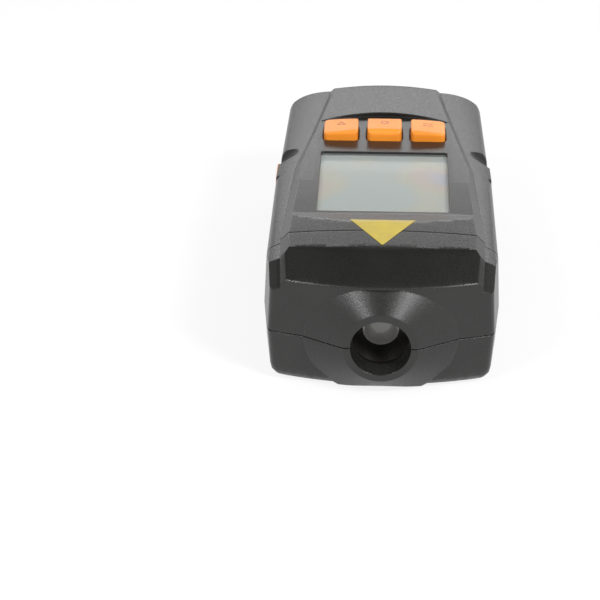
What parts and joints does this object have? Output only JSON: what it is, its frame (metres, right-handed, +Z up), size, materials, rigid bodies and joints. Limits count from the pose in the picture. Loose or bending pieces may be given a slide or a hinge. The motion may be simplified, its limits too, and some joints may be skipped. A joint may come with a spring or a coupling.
{
  "type": "laser tachometer",
  "caption": "Handheld laser tachometer with a display, orange keys on a crowned deck, a side trigger, a flared light snout and a sliding battery door.",
  "frame": {"origin": "middle of the length and width, on the plane of the base", "axes": "+Z up from the base to the deck, -Y out of the light opening, +X to the right as the display is read from behind the keys"},
  "size_m": [0.0686, 0.138, 0.0422],
  "materials": {
    "housing": "fine moulded texture",
    "key": "satin",
    "window": "clear",
    "panel": "satin",
    "barrel": "gloss",
    "lens": "polished",
    "battery": "satin",
    "black_plastic": "satin",
    "strip": "matte",
    "board": "solder mask",
    "aluminium": "turned",
    "brass": "turned",
    "steel": "plated"
  },
  "bodies": {
    "housing": {"bottom_shell": "housing", "top_cover": "housing", "nose_cover": "housing", "battery": "battery", "battery_snap": "black_plastic", "lcd_window": "window", "lcd_panel": "panel", "lcd_frame": "black_plastic", "contact_strips": "strip", "main_board": "board", "controller_chip": "black_plastic", "switch_left": "black_plastic", "switch_middle": "black_plastic", "switch_right": "black_plastic", "trigger_switch": "black_plastic", "lens_barrel": "barrel", "collector_lens": "lens", "lens_ring": "aluminium", "half_mirror": "lens", "photodiode": "black_plastic", "sensor_board": "board", "laser_module": "brass", "housing_screws": "steel", "board_screws": "steel"},
    "left_key": {"key_left": "key", "plunger_left": "black_plastic"},
    "middle_key": {"key_middle": "key", "plunger_middle": "black_plastic"},
    "right_key": {"key_right": "key", "plunger_right": "black_plastic"},
    "trigger": {"trigger_button": "key", "trigger_plunger": "black_plastic"},
    "door": {"battery_door": "housing"}
  },
  "joints": [
    {"name": "left_key_press", "type": "slide", "parent": "housing", "child": "left_key", "axis": [0, 0, -1], "range_m": [0, 0.0006], "stiffness_N_per_m": 400},
    {"name": "middle_key_press", "type": "slide", "parent": "housing", "child": "middle_key", "axis": [0, 0, -1], "range_m": [0, 0.0006], "stiffness_N_per_m": 400},
    {"name": "right_key_press", "type": "slide", "parent": "housing", "child": "right_key", "axis": [0, 0, -1], "range_m": [0, 0.0006], "stiffness_N_per_m": 400},
    {"name": "trigger_press", "type": "slide", "parent": "housing", "child": "trigger", "axis": [1, 0, 0], "range_m": [0, 0.0008], "stiffness_N_per_m": 400},
    {"name": "door_slide", "type": "slide", "parent": "housing", "child": "door", "axis": [0, 1, 0], "range_m": [0, 0.045]}
  ]
}
